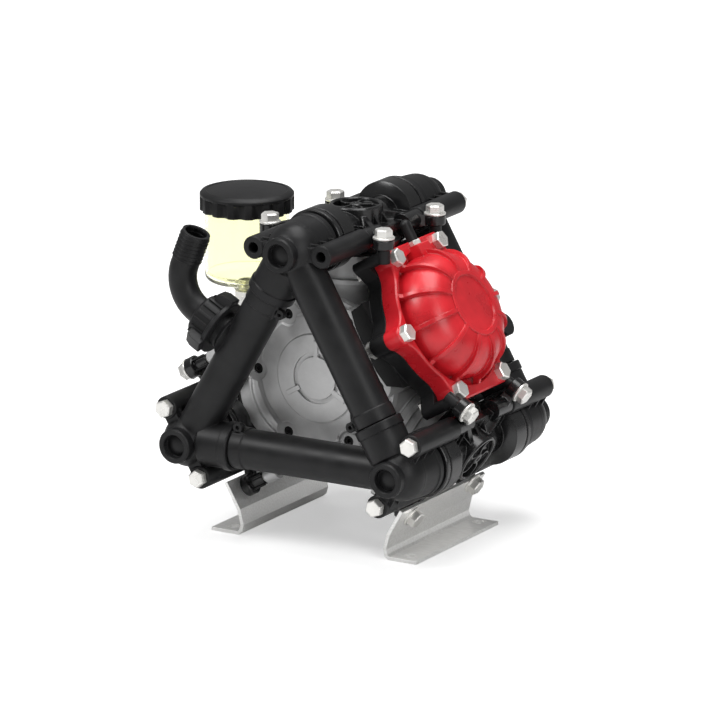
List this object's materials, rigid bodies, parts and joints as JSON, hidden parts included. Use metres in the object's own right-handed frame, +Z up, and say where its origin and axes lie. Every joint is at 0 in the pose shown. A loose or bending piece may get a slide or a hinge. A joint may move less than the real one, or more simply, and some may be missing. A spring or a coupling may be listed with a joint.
{
  "type": "low-pressure diaphragm pump",
  "caption": "Radial diaphragm pump: aluminium crankcase, black plastic heads and manifold triangles, red air chamber, clear oil tank, hose-barb inlet and sheet-metal feet.",
  "frame": {"origin": "on the floor, centre of the four foot-bolt holes, under the crankshaft", "axes": "+X right seen from the front, +Y to the back along the drive shaft, +Z up"},
  "size_m": [0.2858, 0.2473, 0.2845],
  "materials": {
    "black_plastic": "glass-filled moulding, soft sheen",
    "red_plastic": "glass-filled red moulding, semi-gloss",
    "cast_aluminium": "fine as-cast skin",
    "machined_aluminium": "turned",
    "zinc_steel": "bright plated",
    "stainless_sheet": "cold-rolled stainless sheet",
    "bearing_steel": "ground",
    "black_rubber": "matt rubber",
    "clear_plastic": "clear pale yellow moulding",
    "white_plastic": "natural acetal"
  },
  "bodies": {
    "pump_body": {"crankcase": "cast_aluminium", "crankcase_cover": "cast_aluminium", "rear_cover": "cast_aluminium", "cover_screws": "zinc_steel", "front_bearing": "bearing_steel", "rear_bearing": "bearing_steel", "shaft_seal": "black_rubber", "head_bolts": "zinc_steel", "manifold_bolts": "zinc_steel", "port_plugs": "black_plastic", "suction_valve_cages": "white_plastic", "delivery_valve_cages": "white_plastic", "suction_valve_springs": "bearing_steel", "delivery_valve_springs": "bearing_steel", "foot_left": "stainless_sheet", "foot_right": "stainless_sheet", "air_chamber_base": "black_plastic", "air_chamber_cover": "red_plastic", "air_chamber_bolts": "zinc_steel", "air_chamber_nuts": "zinc_steel", "air_diaphragm": "black_rubber", "air_valve": "zinc_steel", "oil_fitting": "zinc_steel", "oil_tank": "clear_plastic", "inlet_gasket": "black_rubber", "head_top": "black_plastic", "suction_corner_top": "black_plastic", "delivery_corner_top": "black_plastic", "diaphragm_top": "black_rubber", "head_left": "black_plastic", "suction_corner_left": "black_plastic", "delivery_corner_left": "black_plastic", "diaphragm_left": "black_rubber", "head_right": "black_plastic", "suction_corner_right": "black_plastic", "delivery_corner_right": "black_plastic", "diaphragm_right": "black_rubber"},
    "crankshaft": {"crankshaft": "bearing_steel"},
    "eccentric_ring": {"eccentric_ring": "bearing_steel"},
    "piston_top": {"piston_top": "machined_aluminium", "piston_rod_top": "machined_aluminium"},
    "piston_left": {"piston_left": "machined_aluminium", "piston_rod_left": "machined_aluminium"},
    "piston_right": {"piston_right": "machined_aluminium", "piston_rod_right": "machined_aluminium"},
    "suction_valve_top": {"suction_valve_top": "white_plastic"},
    "delivery_valve_top": {"delivery_valve_top": "white_plastic"},
    "suction_valve_left": {"suction_valve_left": "white_plastic"},
    "delivery_valve_left": {"delivery_valve_left": "white_plastic"},
    "suction_valve_right": {"suction_valve_right": "white_plastic"},
    "delivery_valve_right": {"delivery_valve_right": "white_plastic"},
    "oil_tank_cap": {"oil_tank_cap": "black_plastic"},
    "inlet_ring_nut": {"inlet_ring_nut": "black_plastic"},
    "inlet_elbow": {"inlet_elbow": "black_plastic"},
    "air_valve_cap": {"air_valve_cap": "black_plastic"},
    "air_diaphragm_button": {"air_diaphragm_button": "white_plastic"}
  },
  "joints": [
    {"name": "crankshaft_turn", "type": "hinge", "parent": "pump_body", "child": "crankshaft", "pos_m": [0, 0, 0.142], "axis": [0, 1, 0], "continuous": true},
    {"name": "eccentric_ring_orbit", "type": "hinge", "parent": "crankshaft", "child": "eccentric_ring", "pos_m": [0, 0, 0.147], "axis": [0, 1, 0], "continuous": true},
    {"name": "piston_stroke_top", "type": "slide", "parent": "pump_body", "child": "piston_top", "axis": [0, 0, 1], "range_m": [-0.01, 0], "deforming": ["diaphragm_top"]},
    {"name": "piston_stroke_left", "type": "slide", "parent": "pump_body", "child": "piston_left", "axis": [-0.866, 0, -0.5], "range_m": [-0.0025, 0.0075], "deforming": ["diaphragm_left"]},
    {"name": "piston_stroke_right", "type": "slide", "parent": "pump_body", "child": "piston_right", "axis": [0.866, 0, -0.5], "range_m": [-0.0025, 0.0075], "deforming": ["diaphragm_right"]},
    {"name": "suction_valve_top_lift", "type": "slide", "parent": "pump_body", "child": "suction_valve_top", "axis": [0, 1, 0], "range_m": [0, 0.003], "stiffness_N_per_m": 120, "springref_m": -0.002, "deforming": ["suction_valve_springs"]},
    {"name": "delivery_valve_top_lift", "type": "slide", "parent": "pump_body", "child": "delivery_valve_top", "axis": [0, 1, 0], "range_m": [0, 0.003], "stiffness_N_per_m": 120, "springref_m": -0.002, "deforming": ["delivery_valve_springs"]},
    {"name": "suction_valve_left_lift", "type": "slide", "parent": "pump_body", "child": "suction_valve_left", "axis": [0, 1, 0], "range_m": [0, 0.003], "stiffness_N_per_m": 120, "springref_m": -0.002, "deforming": ["suction_valve_springs"]},
    {"name": "delivery_valve_left_lift", "type": "slide", "parent": "pump_body", "child": "delivery_valve_left", "axis": [0, 1, 0], "range_m": [0, 0.003], "stiffness_N_per_m": 120, "springref_m": -0.002, "deforming": ["delivery_valve_springs"]},
    {"name": "suction_valve_right_lift", "type": "slide", "parent": "pump_body", "child": "suction_valve_right", "axis": [0, 1, 0], "range_m": [0, 0.003], "stiffness_N_per_m": 120, "springref_m": -0.002, "deforming": ["suction_valve_springs"]},
    {"name": "delivery_valve_right_lift", "type": "slide", "parent": "pump_body", "child": "delivery_valve_right", "axis": [0, 1, 0], "range_m": [0, 0.003], "stiffness_N_per_m": 120, "springref_m": -0.002, "deforming": ["delivery_valve_springs"]},
    {"name": "oil_tank_cap_lift", "type": "slide", "parent": "pump_body", "child": "oil_tank_cap", "axis": [0, 0, 1], "range_m": [0, 0.04]},
    {"name": "inlet_ring_nut_turn", "type": "hinge", "parent": "pump_body", "child": "inlet_ring_nut", "pos_m": [-0.07794, -0.0965, 0.187], "axis": [-0.866, 0, 0.5], "continuous": true},
    {"name": "inlet_elbow_swivel", "type": "hinge", "parent": "pump_body", "child": "inlet_elbow", "pos_m": [-0.07794, -0.0965, 0.187], "axis": [-0.866, 0, 0.5], "range_deg": [-120, 30]},
    {"name": "air_valve_cap_pull", "type": "slide", "parent": "pump_body", "child": "air_valve_cap", "axis": [-0.5, 0, 0.866], "range_m": [0, 0.016]},
    {"name": "air_diaphragm_travel", "type": "slide", "parent": "pump_body", "child": "air_diaphragm_button", "axis": [0.866, 0, 0.5], "range_m": [0, 0.008], "stiffness_N_per_m": 400, "deforming": ["air_diaphragm"]}
  ],
  "couplings": [
    {"joint": "eccentric_ring_orbit", "follows": "crankshaft_turn", "ratio": -1}
  ]
}
